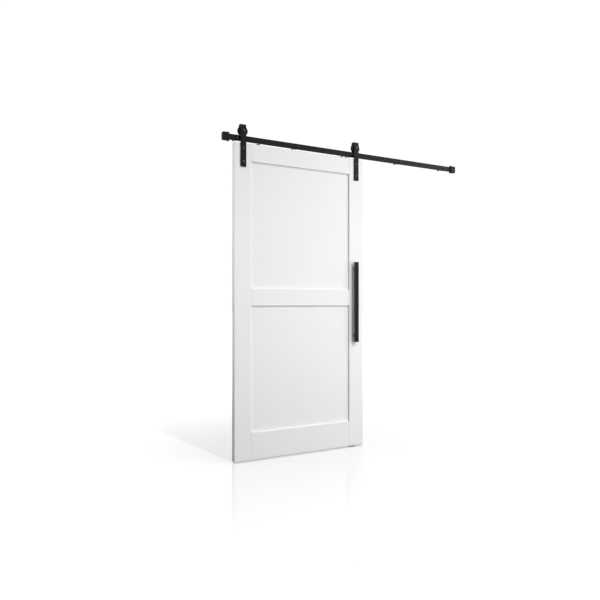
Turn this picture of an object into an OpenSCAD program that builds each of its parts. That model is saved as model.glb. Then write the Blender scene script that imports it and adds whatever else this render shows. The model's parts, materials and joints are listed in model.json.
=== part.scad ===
// A two-panel sliding barn door that hangs from a flat-bar track by two
// roller hangers. Millimetres, Z up, X along the track, Y into the wall.
// The origin is the centre of the middle wall spacer's back face, so the
// wall's surface is the plane y = 0 and the track is centred on x = 0.

/* [Door leaf] */
// Width of the door
door_w = 1016; // [900:1:1100]
// Height of the door
door_h = 2134; // [1900:1:2400]
// Thickness of the door
door_t = 44.5; // [40:0.5:50]
// Left edge of the door at rest, measured along the track
door_left = -923; // [-925:1:-880]
// Width of each stile
stile_w = 120; // [110:1:140]
// Height of the top rail
top_rail_h = 118; // [112:1:150]
// Height of the middle rail
middle_rail_h = 117; // [100:1:150]
// Height of the bottom rail
bottom_rail_h = 184; // [150:1:240]
// Thickness of the two panels
panel_t = 18; // [12:0.5:20]
// Depth of the groove that holds the panels
groove_depth = 12; // [8:1:15]
// Chamfer on the door's outer edges
edge_chamfer = 1.5; // [0.5:0.5:3]
// Chamfer on edges that meet at a joint or face a panel
joint_chamfer = 1.5; // [0.5:0.5:3]

/* [Track] */
// Length of the flat bar
rail_len = 2000; // [1980:10:2060]
// Height of the flat bar
rail_h = 40; // [36:1:42]
// Thickness of the flat bar
rail_t = 6; // [5:0.5:7]
// Distance between neighbouring wall bolts
bolt_pitch = 450; // [430:5:460]
// Distance from the middle of the bar down to the top of the door
door_drop = 31; // [31:0.5:34]
// Distance from the wall to the back of the door
wall_gap = 9.5; // [8:0.5:12]
// Gap under the door
floor_gap = 6; // [5:0.5:12]

/* [Hangers] */
// Width of each strap
strap_w = 40; // [34:1:44]
// Thickness of each strap
strap_t = 6; // [5:0.5:6]
// Distance from the door's edge to the middle of a strap
strap_inset = 62; // [55:1:75]
// Length of the strap below the top of the door
strap_drop = 161; // [150:1:200]
// Radius of the wheel's flanges
wheel_r = 35; // [33:0.5:37]
// Radius of the wheel at its rolling line, at the top of the bar
rolling_r = 30; // [29:0.5:31]
// Width of the wheel
wheel_w = 18; // [17:0.5:19]
// Room between the wheel and each leg of the strap
wheel_room = 4; // [3:0.5:6]
// Space between the wheel and the bend of the strap above it
bend_gap = 3; // [2:0.5:6]
// Distance from the door's edge to the middle of an anti-jump disc
disc_inset = 177; // [165:1:220]

/* [Handle] */
// Length of the flat bar
handle_len = 592; // [580:1:700]
// Width of the flat bar
handle_w = 34; // [25:1:40]
// Thickness of the flat bar
handle_t = 12; // [8:0.5:14]
// Distance between the two posts
post_pitch = 500; // [440:1:540]
// Space between the bar and the door
finger_gap = 22; // [20:1:40]
// Distance from the door's right edge to the middle of the bar
handle_inset = 75; // [56:1:76]
// Height of the middle of the bar above the foot of the door
handle_height = 1068; // [1000:1:1120]

/* [Stops] */
// Length of the metal block
stop_len = 39; // [35:1:50]
// Thickness of the rubber bumper
bumper_t = 9; // [6:1:12]
// Height of the rubber bumper
bumper_h = 60; // [54:1:60]

/* [Hidden] */
$fn = 64;
cut = 1;
thread_fit = 0.05;
sides = [-1, 1];

// Planes across the depth, from the wall outwards
door_back = -wall_gap;
door_front = door_back - door_t;
door_mid_y = (door_back + door_front) / 2;
wheel_half = wheel_w / 2;
rail_mid_y = door_front + wheel_room + wheel_half;
rail_back = rail_mid_y + rail_t / 2;
rail_front = rail_mid_y - rail_t / 2;

// Heights
door_top = -door_drop;
door_foot = door_top - door_h;
floor_z = door_foot - floor_gap;
rail_top = rail_h / 2;
axle_z = rail_top + rolling_r;

// Places along the track
door_right = door_left + door_w;
left_hanger_x = door_left + strap_inset;
right_hanger_x = door_right - strap_inset;
inner_left = door_left + stile_w;
inner_right = door_right - stile_w;
left_disc_x = door_left + disc_inset;
right_disc_x = door_right - disc_inset;
wall_bolt_xs = [for (i = [-2:2]) i * bolt_pitch];

// The leaf's rails and panels
opening_h = (door_h - top_rail_h - middle_rail_h - bottom_rail_h) / 2;
top_rail_z = door_top - top_rail_h;
middle_rail_z = top_rail_z - opening_h - middle_rail_h;
groove_fit = 0.1;
groove_t = panel_t + 2 * groove_fit;
tongue_depth = groove_depth - 1;
dowel_r = 5;
dowel_fit = 0.05;
dowel_half = 45;
dowel_end_room = 1;
dowel_spread = 28;

// The foot groove that runs over the floor guide
foot_groove_w = 8;
foot_groove_depth = 14;
fin_depth = 10;

// Wheel and its ball bearing
rolling_fit = 0.3;
groove_floor_r = rolling_r - rolling_fit;
wheel_groove_half = rail_t / 2 + 1;
flange_slope = 1;
wheel_chamfer = 1.5;
wheel_recess = 1.5;
recess_inner_r = 18.5;
recess_outer_r = 28;
bearing_r = 13;
bearing_fit = 0.02;
bearing_seat_gap = 0.1;
bearing_w = 8;
bearing_bore_r = 5.05;
inner_ring_r = 7.4;
outer_ring_r = 10.6;
ball_pitch_r = 9;
ball_r = 2.38;
race_r = 2.45;
ball_count = 7;
bearing_lip_r = 11.5;

// Strap
strap_front = door_front - strap_t;
strap_half_depth = wheel_room + wheel_half;
strap_back = rail_mid_y + strap_half_depth + strap_t;
strap_top = axle_z + wheel_r + bend_gap + strap_t;
strap_foot = door_top - strap_drop;
bend_outer_r = 9;
bend_inner_r = bend_outer_r - strap_t;
strap_bolt_drops = [38, 127];
strap_bolt_r = 5;
strap_hole_r = 5.3;
axle_r = 5;
axle_hole_r = 5.2;
bush_r = 7;

// Axle bolt and nut
socket_web = 1.5;
axle_head_r = 12;
axle_head_h = 5;
axle_socket_r = 4.6;
axle_nut_r = 9.8;
axle_nut_h = 8;
axle_nut_bevel = 1.5;
axle_end = strap_back + axle_nut_h + 2;

// Strap bolts and the barrel nuts they screw into
strap_head_r = 9;
strap_head_h = 4.5;
strap_socket_r = 3.5;
strap_bolt_end = door_back - 2;
barrel_r = 6;
barrel_hole_r = 6.1;
barrel_hole_depth = 16;
barrel_len = 14;
barrel_flange_r = 10;
barrel_flange_t = 2;
barrel_web = 1;

// Wall fasteners and spacers
lag_thread_r = 4;
lag_shank_r = 4.25;
lag_hole_r = 4.5;
lag_depth = 50;
lag_tip = 8;
lag_tip_r = 0.8;
lag_head_h = 5.5;
lag_head_r = 7.5;
lag_head_bevel = 1.2;
washer_r = 10;
washer_t = 1.6;
spacer_r = 12.5;
spacer_chamfer = 1;
rail_chamfer = 0.8;

// Floor guide
guide_len = 50;
guide_w = 44;
guide_base_t = 3;
guide_fin_t = 5;
guide_fin_top = door_foot + fin_depth;
guide_hole_r = 2.25;
guide_hole_pitch = 28;

// Handle
handle_x = door_right - handle_inset;
handle_z = door_foot + handle_height;
handle_back = door_front - finger_gap;
post_r = 8;
spigot_r = 4;
spigot_len = 6;
spigot_room = 0.2;
handle_chamfer = 1;
handle_screw_r = 3;
handle_hole_r = 3.3;
handle_screw_depth = 13;
post_bore_depth = 15;
handle_head_r = 7;
handle_head_h = 2.5;

// Stops and anti-jump discs
stop_half_depth = 11;
stop_half_h = 27;
stop_chamfer = 6;
stop_end = rail_len / 2 + 5;
stop_face = stop_end - stop_len - bumper_t;
stop_fit = 0.1;
stop_screw_r = 3;
stop_screw_len = 7;
stop_screw_spread = 11;
stop_socket_r = 1.7;
stop_socket_depth = 3;
bumper_lip = 1;
bumper_chamfer = 2;
disc_r = 16;
disc_gap = 3;
disc_h = door_drop - rail_h / 2 - disc_gap;
disc_chamfer = 1.5;
disc_y = door_mid_y;
disc_screw_r = 2.5;
disc_hole_r = 2.7;
disc_screw_depth = 20;
disc_sink_r = 5.2;
disc_sink_depth = 4;
disc_head_r = 5;
disc_head_h = 3;

// ---- Shared shapes ----

// A cylinder whose axis runs along Y, from y0 to y1
module rod_y(r, y0, y1) {
    translate([0, y0, 0]) rotate([-90, 0, 0]) cylinder(r = r, h = y1 - y0);
}

// A cone along Y: r0 at y0, r1 at y1
module cone_y(r0, r1, y0, y1) {
    translate([0, y0, 0]) rotate([-90, 0, 0]) cylinder(r1 = r0, r2 = r1, h = y1 - y0);
}

// A ring whose axis runs along Y
module ring_y(outer, inner, y0, y1) {
    difference() {
        rod_y(outer, y0, y1);
        rod_y(inner, y0 - cut, y1 + cut);
    }
}

// A solid turned about Y from an outline of [radius, y] points
module turned_y(outline) {
    rotate([-90, 0, 0]) rotate_extrude() polygon(outline);
}

// The outline of a rectangle with chamfered corners
module chamfered_rect(x0, x1, y0, y1, c) {
    polygon([
        [x0 + c, y0], [x1 - c, y0], [x1, y0 + c], [x1, y1 - c],
        [x1 - c, y1], [x0 + c, y1], [x0, y1 - c], [x0, y0 + c]
    ]);
}

// A hexagonal head or nut along Y, with its outer corners turned off at y0
module hex_y(r, y0, y1, bevel) {
    bevel_end = y0 + bevel * tan(30);
    intersection() {
        translate([0, y0, 0]) rotate([-90, 0, 0]) cylinder(r = r, h = y1 - y0, $fn = 6);
        union() {
            cone_y(r - bevel, r, y0, bevel_end);
            rod_y(r, bevel_end, y1);
        }
    }
}

// A low domed head whose flat side lies at y1
module domed_head_y(r, h, y1) {
    ball = (r * r + h * h) / (2 * h);
    intersection() {
        translate([0, y1 - h + ball, 0]) sphere(r = ball);
        rod_y(r, y1 - h - cut, y1);
    }
}

// The hollow of a hex socket, mouth at y0
module hex_socket_y(r, y0, depth) {
    translate([0, y0 - cut, 0]) rotate([-90, 0, 0]) cylinder(r = r, h = depth + cut, $fn = 6);
}

module at_wall_bolts() {
    for (x = wall_bolt_xs) translate([x, 0, 0]) children();
}

module at_hangers() {
    for (x = [left_hanger_x, right_hanger_x]) translate([x, 0, axle_z]) children();
}

module at_strap_bolts() {
    for (x = [left_hanger_x, right_hanger_x], drop = strap_bolt_drops)
        translate([x, 0, door_top - drop]) children();
}

// ---- Door leaf ----

// A straight board with chamfered edges along Z and along X
module board(x0, x1, z0, z1, upright_chamfer, level_chamfer) {
    intersection() {
        translate([0, 0, z0]) linear_extrude(z1 - z0)
            chamfered_rect(x0, x1, door_front, door_back, upright_chamfer);
        translate([x0, 0, 0]) rotate([90, 0, 90]) linear_extrude(x1 - x0)
            chamfered_rect(door_front, door_back, z0, z1, level_chamfer);
    }
}

// The hollow that takes a panel's or a rail's tongue
module groove(x0, x1, z0, z1) {
    translate([x0, door_mid_y - groove_t / 2, z0]) cube([x1 - x0, groove_t, z1 - z0]);
}

// The slot along the foot of the door, over the floor guide
module foot_groove() {
    translate([door_left - cut, door_mid_y - foot_groove_w / 2, door_foot - cut])
        cube([door_w + 2 * cut, foot_groove_w, foot_groove_depth + cut]);
}

// Every dowel, or with grow > 0 the bores that hold them
module dowels(grow, end_room) {
    half = dowel_half + end_room;
    for (
        x = [inner_left, inner_right],
        z = [top_rail_z + top_rail_h / 2, middle_rail_z + middle_rail_h / 2,
            door_foot + bottom_rail_h / 2],
        side = sides
    )
        translate([x - half, door_mid_y, z + side * dowel_spread]) rotate([0, 90, 0])
            cylinder(r = dowel_r + grow, h = 2 * half);
}

module rail_dowels() {
    color("tan") dowels(0, 0);
}

// One stile. Its inner edge faces the door's middle.
module stile(x0, x1, inner_x) {
    difference() {
        board(x0, x1, door_foot, door_top, edge_chamfer, edge_chamfer);
        groove(inner_x - groove_depth, inner_x + groove_depth, door_foot - cut, door_top + cut);
        dowels(dowel_fit, dowel_end_room);
        foot_groove();
        at_strap_bolts() rod_y(strap_hole_r, door_front - cut, door_back + cut);
        at_strap_bolts() rod_y(barrel_hole_r, door_back - barrel_hole_depth, door_back + cut);
        at_handle_posts() rod_y(handle_hole_r, door_front - cut, door_back + cut);
    }
}

module stile_left() {
    color("white") stile(door_left, inner_left, inner_left);
}

module stile_right() {
    color("white") stile(inner_right, door_right, inner_right);
}

// One rail with its tongues, grooved above or below for the panels
module rail(z0, z1, groove_above, groove_below) {
    difference() {
        union() {
            board(inner_left, inner_right, z0, z1, joint_chamfer, joint_chamfer);
            translate([inner_left - tongue_depth, door_mid_y - panel_t / 2, z0])
                cube([inner_right - inner_left + 2 * tongue_depth, panel_t, z1 - z0]);
        }
        if (groove_above)
            groove(inner_left - stile_w, inner_right + stile_w, z1 - groove_depth, z1 + cut);
        if (groove_below)
            groove(inner_left - stile_w, inner_right + stile_w, z0 - cut, z0 + groove_depth);
        dowels(dowel_fit, dowel_end_room);
        foot_groove();
    }
}

module top_rail() {
    color("white") difference() {
        rail(top_rail_z, door_top, false, true);
        at_discs() disc_pilot();
    }
}

module middle_rail() {
    color("white") rail(middle_rail_z, middle_rail_z + middle_rail_h, true, true);
}

module bottom_rail() {
    color("white") rail(door_foot, door_foot + bottom_rail_h, true, false);
}

// One panel, set into the grooves around an opening whose foot is at z0
module panel(z0) {
    translate([inner_left - tongue_depth, door_mid_y - panel_t / 2, z0 - tongue_depth])
        cube([
            inner_right - inner_left + 2 * tongue_depth,
            panel_t,
            opening_h + 2 * tongue_depth
        ]);
}

module upper_panel() {
    color("white") panel(middle_rail_z + middle_rail_h);
}

module lower_panel() {
    color("white") panel(door_foot + bottom_rail_h);
}

// ---- Hangers ----

// An upright rectangle in the YZ plane whose top corners are round
module arch(y0, y1, z0, z1, r) {
    union() {
        translate([y0, z0]) square([y1 - y0, z1 - z0 - r]);
        translate([y0 + r, z0]) square([y1 - y0 - 2 * r, z1 - z0]);
        translate([y0 + r, z1 - r]) circle(r = r);
        translate([y1 - r, z1 - r]) circle(r = r);
    }
}

// A flat strap bent over the wheel, with a short round-ended leg behind it
module hanger_strap(x) {
    difference() {
        translate([x - strap_w / 2, 0, 0]) rotate([90, 0, 90]) linear_extrude(strap_w)
            difference() {
                arch(strap_front, strap_back, strap_foot, strap_top, bend_outer_r);
                arch(strap_front + strap_t, strap_back - strap_t, strap_foot - cut,
                    strap_top - strap_t, bend_inner_r);
                translate([strap_back - strap_t - cut, strap_foot - cut])
                    square([strap_t + 2 * cut, axle_z - strap_foot + cut]);
            }
        translate([x, 0, axle_z]) rod_y(axle_hole_r, strap_front - cut, strap_back + cut);
        at_strap_bolts() rod_y(strap_hole_r, strap_front - cut, door_front + cut);
    }
    translate([x, 0, axle_z]) strap_back_end();
}

// The round end of the strap's back leg, below the axle
module strap_back_end() {
    difference() {
        rod_y(strap_w / 2, strap_back - strap_t, strap_back);
        rod_y(axle_hole_r, strap_back - strap_t - cut, strap_back + cut);
        translate([-strap_w, strap_back - strap_t - cut, 0])
            cube([2 * strap_w, strap_t + 2 * cut, strap_w]);
    }
}

module hanger_strap_left() {
    color("dimgray") hanger_strap(left_hanger_x);
}

module hanger_strap_right() {
    color("dimgray") hanger_strap(right_hanger_x);
}

// The axle bolt, with a low round head and a hex socket
module axle_bolt(x) {
    translate([x, 0, axle_z]) difference() {
        union() {
            domed_head_y(axle_head_r, axle_head_h, strap_front);
            rod_y(axle_r, strap_front, axle_end);
        }
        hex_socket_y(axle_socket_r, strap_front - axle_head_h, axle_head_h - socket_web);
    }
}

module axle_bolt_left() {
    color("dimgray") axle_bolt(left_hanger_x);
}

module axle_bolt_right() {
    color("dimgray") axle_bolt(right_hanger_x);
}

// The axle nut, with its chamfered side towards the wall
module axle_nut(x) {
    translate([x, 0, axle_z]) difference() {
        mirror([0, 1, 0])
            hex_y(axle_nut_r, -strap_back - axle_nut_h, -strap_back, axle_nut_bevel);
        rod_y(bearing_bore_r, strap_back - cut, strap_back + axle_nut_h + cut);
    }
}

module axle_nut_left() {
    color("dimgray") axle_nut(left_hanger_x);
}

module axle_nut_right() {
    color("dimgray") axle_nut(right_hanger_x);
}

// Bushes that clamp each bearing's inner ring between the strap's legs
module axle_bushes() {
    color("silver") at_hangers() {
        ring_y(bush_r, bearing_bore_r, door_front, rail_mid_y - bearing_w / 2);
        ring_y(bush_r, bearing_bore_r, rail_mid_y + bearing_w / 2, strap_back - strap_t);
    }
}

// One half of the round track that the balls run in
module race() {
    translate([0, rail_mid_y, 0]) rotate([-90, 0, 0]) rotate_extrude()
        translate([ball_pitch_r, 0]) circle(r = race_r);
}

module bearing_inner(x) {
    translate([x, 0, axle_z]) difference() {
        ring_y(inner_ring_r, bearing_bore_r, rail_mid_y - bearing_w / 2, rail_mid_y + bearing_w / 2);
        race();
    }
}

module bearing_inner_left() {
    color("silver") bearing_inner(left_hanger_x);
}

module bearing_inner_right() {
    color("silver") bearing_inner(right_hanger_x);
}

module bearing_outer(x) {
    translate([x, 0, axle_z]) difference() {
        ring_y(bearing_r - bearing_fit, outer_ring_r, rail_mid_y - bearing_w / 2,
            rail_mid_y + bearing_w / 2);
        race();
    }
}

module bearing_outer_left() {
    color("silver") bearing_outer(left_hanger_x);
}

module bearing_outer_right() {
    color("silver") bearing_outer(right_hanger_x);
}

module bearing_balls(x) {
    for (i = [0:ball_count - 1])
        translate([x, rail_mid_y, axle_z]) rotate([0, i * 360 / ball_count, 0])
            translate([ball_pitch_r, 0, 0]) sphere(r = ball_r);
}

module bearing_balls_left() {
    color("silver") bearing_balls(left_hanger_x);
}

module bearing_balls_right() {
    color("silver") bearing_balls(right_hanger_x);
}

// The grooved wheel, turned about its axle, with a dished face on each side
module roller(x) {
    h = wheel_half;
    g = wheel_groove_half;
    s = flange_slope;
    c = wheel_chamfer;
    d = wheel_recess;
    lip_y = -bearing_w / 2 - bearing_seat_gap;
    translate([x, rail_mid_y, axle_z]) turned_y([
        [bearing_lip_r, -h], [recess_inner_r, -h], [recess_inner_r + d, -h + d],
        [recess_outer_r - d, -h + d], [recess_outer_r, -h], [wheel_r - c, -h], [wheel_r, -h + c],
        [wheel_r, -g - s], [groove_floor_r, -g], [groove_floor_r, g], [wheel_r, g + s],
        [wheel_r, h - c], [wheel_r - c, h], [recess_outer_r, h], [recess_outer_r - d, h - d],
        [recess_inner_r + d, h - d], [recess_inner_r, h], [bearing_r, h], [bearing_r, lip_y],
        [bearing_lip_r, lip_y]
    ]);
}

module roller_left() {
    color("dimgray") roller(left_hanger_x);
}

module roller_right() {
    color("dimgray") roller(right_hanger_x);
}

// Domed bolts through the strap and the stile
module strap_bolts() {
    color("dimgray") at_strap_bolts() difference() {
        union() {
            domed_head_y(strap_head_r, strap_head_h, strap_front);
            rod_y(strap_bolt_r, strap_front, strap_bolt_end);
        }
        hex_socket_y(strap_socket_r, strap_front - strap_head_h, strap_head_h - socket_web);
    }
}

// Flanged barrel nuts, sunk into the back of the stile
module strap_barrel_nuts() {
    color("dimgray") at_strap_bolts() difference() {
        union() {
            rod_y(barrel_r, door_back - barrel_len, door_back);
            rod_y(barrel_flange_r, door_back, door_back + barrel_flange_t);
        }
        rod_y(strap_bolt_r + thread_fit, door_back - barrel_len - cut, door_back - barrel_web);
    }
}

// ---- Anti-jump discs ----

module at_discs() {
    for (x = [left_disc_x, right_disc_x])
        translate([x, disc_y, door_top]) children();
}

// The bore in the top rail that takes a disc's screw
module disc_pilot() {
    translate([0, 0, -disc_screw_depth - cut])
        cylinder(r = disc_screw_r + thread_fit, h = disc_screw_depth + 2 * cut);
}

// A disc with a counterbored hole, its upper edge chamfered
module anti_jump_disc(x) {
    translate([x, disc_y, door_top]) difference() {
        rotate_extrude() polygon([
            [0, 0], [disc_r, 0], [disc_r, disc_h - disc_chamfer],
            [disc_r - disc_chamfer, disc_h], [0, disc_h]
        ]);
        translate([0, 0, -cut]) cylinder(r = disc_hole_r, h = disc_h + 2 * cut);
        translate([0, 0, disc_h - disc_sink_depth])
            cylinder(r = disc_sink_r, h = disc_sink_depth + cut);
    }
}

module anti_jump_disc_left() {
    color("dimgray") anti_jump_disc(left_disc_x);
}

module anti_jump_disc_right() {
    color("dimgray") anti_jump_disc(right_disc_x);
}

module anti_jump_screws() {
    head_z = disc_h - disc_sink_depth;
    color("dimgray") at_discs() {
        translate([0, 0, -disc_screw_depth])
            cylinder(r = disc_screw_r, h = disc_screw_depth + head_z);
        translate([0, 0, head_z]) cylinder(r = disc_head_r, h = disc_head_h);
    }
}

// ---- Handle ----

module at_handle_posts() {
    for (side = sides) translate([handle_x, 0, handle_z + side * post_pitch / 2]) children();
}

module handle_bar() {
    color("dimgray") difference() {
        translate([0, 0, handle_z - handle_len / 2]) linear_extrude(handle_len)
            chamfered_rect(handle_x - handle_w / 2, handle_x + handle_w / 2,
                handle_back - handle_t, handle_back, handle_chamfer);
        at_handle_posts()
            rod_y(spigot_r + thread_fit, handle_back - spigot_len - spigot_room, handle_back + cut);
    }
}

// A round post with a spigot in the bar and a threaded bore for its screw
module handle_post(side) {
    translate([handle_x, 0, handle_z + side * post_pitch / 2]) difference() {
        union() {
            rod_y(post_r, handle_back, door_front);
            rod_y(spigot_r, handle_back - spigot_len, handle_back);
        }
        rod_y(handle_screw_r + thread_fit, door_front - post_bore_depth, door_front + cut);
    }
}

module handle_post_top() {
    color("dimgray") handle_post(1);
}

module handle_post_bottom() {
    color("dimgray") handle_post(-1);
}

module handle_screws() {
    color("dimgray") at_handle_posts() {
        rod_y(handle_screw_r, door_front - handle_screw_depth, door_back);
        mirror([0, 1, 0]) domed_head_y(handle_head_r, handle_head_h, -door_back);
    }
}

// ---- Track ----

module track_rail() {
    color("dimgray") difference() {
        translate([-rail_len / 2, 0, 0]) rotate([90, 0, 90]) linear_extrude(rail_len)
            chamfered_rect(rail_front, rail_back, -rail_h / 2, rail_h / 2, rail_chamfer);
        at_wall_bolts() rod_y(lag_hole_r, rail_front - cut, rail_back + cut);
    }
}

// A tubular spacer between the wall and the bar
module wall_spacer(i) {
    c = spacer_chamfer;
    translate([wall_bolt_xs[i - 1], 0, 0]) turned_y([
        [lag_hole_r, rail_back], [spacer_r - c, rail_back], [spacer_r, rail_back + c],
        [spacer_r, -c], [spacer_r - c, 0], [lag_hole_r, 0]
    ]);
}

module wall_spacer_1() {
    color("dimgray") wall_spacer(1);
}

module wall_spacer_2() {
    color("dimgray") wall_spacer(2);
}

module wall_spacer_3() {
    color("dimgray") wall_spacer(3);
}

module wall_spacer_4() {
    color("dimgray") wall_spacer(4);
}

module wall_spacer_5() {
    color("dimgray") wall_spacer(5);
}

// Hex-headed lag bolts: head, plain shank, threaded part and pointed tip
module lag_bolts() {
    head_seat = rail_front - washer_t;
    color("dimgray") at_wall_bolts() {
        hex_y(lag_head_r, head_seat - lag_head_h, head_seat, lag_head_bevel);
        rod_y(lag_shank_r, head_seat, 0);
        rod_y(lag_thread_r, 0, lag_depth);
        cone_y(lag_thread_r, lag_tip_r, lag_depth, lag_depth + lag_tip);
    }
}

module lag_washers() {
    color("dimgray") at_wall_bolts()
        ring_y(washer_r, lag_hole_r, rail_front - washer_t, rail_front);
}

// The hollow in a stop that the bar fits in
module rail_slot(x0, x1) {
    translate([x0, rail_front - stop_fit, -rail_h / 2 - stop_fit])
        cube([x1 - x0, rail_t + 2 * stop_fit, rail_h + 2 * stop_fit]);
}

// The block of the right stop, capping the end of the bar
module end_stop() {
    x0 = stop_face + bumper_t;
    c = stop_chamfer;
    h = stop_half_h;
    difference() {
        translate([0, rail_mid_y + stop_half_depth, 0]) rotate([90, 0, 0])
            linear_extrude(2 * stop_half_depth) polygon([
                [x0, -h], [stop_end - c, -h], [stop_end, -h + c], [stop_end, h - c],
                [stop_end - c, h], [x0, h]
            ]);
        rail_slot(x0 - cut, rail_len / 2 + stop_fit);
        at_stop_screws()
            rod_y(stop_screw_r + thread_fit, rail_mid_y - stop_half_depth - cut, rail_front);
    }
}

module at_stop_screws() {
    for (side = sides)
        translate([stop_face + bumper_t + stop_len / 2, 0, side * stop_screw_spread]) children();
}

module stop_bumper() {
    difference() {
        translate([stop_face, rail_mid_y - stop_half_depth, 0]) rotate([90, 0, 90])
            linear_extrude(bumper_t)
                chamfered_rect(-bumper_lip, 2 * stop_half_depth + bumper_lip,
                    -bumper_h / 2, bumper_h / 2, bumper_chamfer);
        rail_slot(stop_face - cut, stop_face + bumper_t + cut);
    }
}

module end_stop_right() {
    color("dimgray") end_stop();
}

module end_stop_left() {
    color("dimgray") mirror([1, 0, 0]) end_stop();
}

module stop_bumper_right() {
    color("black") stop_bumper();
}

module stop_bumper_left() {
    color("black") mirror([1, 0, 0]) stop_bumper();
}

// Socket set screws that pinch the bar inside each stop
module stop_set_screws() {
    head_y = rail_front - stop_screw_len;
    color("dimgray") for (flip = [0, 1]) mirror([flip, 0, 0]) at_stop_screws() difference() {
        rod_y(stop_screw_r, head_y, rail_front);
        hex_socket_y(stop_socket_r, head_y, stop_socket_depth);
    }
}

// A plate on the floor with a fin that stands in the door's foot groove
module floor_guide() {
    color("dimgray") difference() {
        union() {
            translate([-guide_len / 2, door_mid_y - guide_w / 2, floor_z])
                cube([guide_len, guide_w, guide_base_t]);
            translate([-guide_len / 2, door_mid_y - guide_fin_t / 2, floor_z])
                cube([guide_len, guide_fin_t, guide_fin_top - floor_z]);
        }
        for (side = sides)
            translate([0, door_mid_y + side * guide_hole_pitch / 2, floor_z - cut])
                cylinder(r = guide_hole_r, h = guide_base_t + 2 * cut);
    }
}

// ---- Drawing ----

track_rail();
wall_spacer_1();
wall_spacer_2();
wall_spacer_3();
wall_spacer_4();
wall_spacer_5();
lag_bolts();
lag_washers();
end_stop_left();
end_stop_right();
stop_bumper_left();
stop_bumper_right();
stop_set_screws();
floor_guide();
stile_left();
stile_right();
top_rail();
middle_rail();
bottom_rail();
upper_panel();
lower_panel();
rail_dowels();
hanger_strap_left();
hanger_strap_right();
axle_bolt_left();
axle_bolt_right();
axle_nut_left();
axle_nut_right();
axle_bushes();
bearing_inner_left();
bearing_inner_right();
strap_bolts();
strap_barrel_nuts();
anti_jump_disc_left();
anti_jump_disc_right();
anti_jump_screws();
handle_bar();
handle_post_top();
handle_post_bottom();
handle_screws();
roller_left();
bearing_outer_left();
bearing_balls_left();
roller_right();
bearing_outer_right();
bearing_balls_right();
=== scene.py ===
"""Looks of a two-panel sliding barn door on its wall track.

Everything is in metres in the row's frame: X along the track, Y into the wall, Z up. The leaf is
painted board, the track and its fittings are coated steel, and the wheels run on ball bearings.
"""

import json
import math

import bmesh
import bpy
from bpy.props import FloatProperty, FloatVectorProperty, IntProperty, PointerProperty
from mathutils import Euler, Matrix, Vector


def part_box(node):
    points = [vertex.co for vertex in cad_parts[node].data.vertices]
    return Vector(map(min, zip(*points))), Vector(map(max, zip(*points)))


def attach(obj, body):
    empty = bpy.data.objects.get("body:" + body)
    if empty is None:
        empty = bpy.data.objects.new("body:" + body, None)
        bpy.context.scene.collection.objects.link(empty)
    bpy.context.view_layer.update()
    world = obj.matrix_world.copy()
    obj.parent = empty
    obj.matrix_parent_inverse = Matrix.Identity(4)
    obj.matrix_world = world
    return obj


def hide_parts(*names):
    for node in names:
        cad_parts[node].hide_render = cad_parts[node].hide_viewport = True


bl_info = {
    "name": "Sliding Barn Door",
    "version": (1, 0, 0),
    "blender": (4, 5, 0),
    "location": "3D View > Sidebar > Barn Door",
    "description": "Builds the finish, the fasteners and the studio of a sliding barn door",
    "category": "Object",
}

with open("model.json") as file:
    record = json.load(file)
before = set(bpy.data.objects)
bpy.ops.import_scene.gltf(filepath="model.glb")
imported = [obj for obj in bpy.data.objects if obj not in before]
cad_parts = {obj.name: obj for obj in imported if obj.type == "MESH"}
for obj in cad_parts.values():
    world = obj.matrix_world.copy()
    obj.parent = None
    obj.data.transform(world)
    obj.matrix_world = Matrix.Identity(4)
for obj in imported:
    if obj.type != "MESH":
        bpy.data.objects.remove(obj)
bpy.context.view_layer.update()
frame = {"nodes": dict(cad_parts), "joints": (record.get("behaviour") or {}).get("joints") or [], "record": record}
record = frame["record"]

BODY_OF = {
    node: body for body, nodes in record["behaviour"]["bodies"].items() for node in nodes
}
MOUNTS = {mount["name"]: mount for mount in record["mounts"]}
JOINTS = {joint["name"]: joint for joint in frame["joints"]}

MM = 0.001
SIDES = ("left", "right")
FULL_TURN = 2 * math.pi
HEX_TURN = math.radians(60)
WELD_DISTANCE = 2e-6
FLAT_ANGLE = math.radians(0.4)
EDGE_ANGLE = math.radians(25)


# ---- Settings -------------------------------------------------------------------------------


class LeafSettings(bpy.types.PropertyGroup):
    """Paint of the door leaf"""

    paint: FloatVectorProperty(
        name="Paint", description="Colour of the paint", subtype="COLOR", size=3,
        min=0, max=1, default=(0.83, 0.84, 0.835),
    )
    paint_shade: FloatVectorProperty(
        name="Paint shade", description="Colour where the paint film is a little thicker",
        subtype="COLOR", size=3, min=0, max=1, default=(0.80, 0.812, 0.808),
    )
    rough: FloatProperty(
        name="Roughness", description="Roughness of the paint", subtype="FACTOR",
        min=0, max=1, default=0.46,
    )
    edge: FloatProperty(
        name="Edge rounding", description="Radius on the edges of the boards",
        subtype="DISTANCE", unit="LENGTH", default=0.5 * MM,
    )
    stroke: FloatProperty(
        name="Stroke relief", description="Height of the roller and brush marks",
        subtype="DISTANCE", unit="LENGTH", default=0.05 * MM,
    )
    beech: FloatVectorProperty(
        name="Beech", description="Colour of the dowels", subtype="COLOR", size=3,
        min=0, max=1, default=(0.60, 0.39, 0.21),
    )


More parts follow.
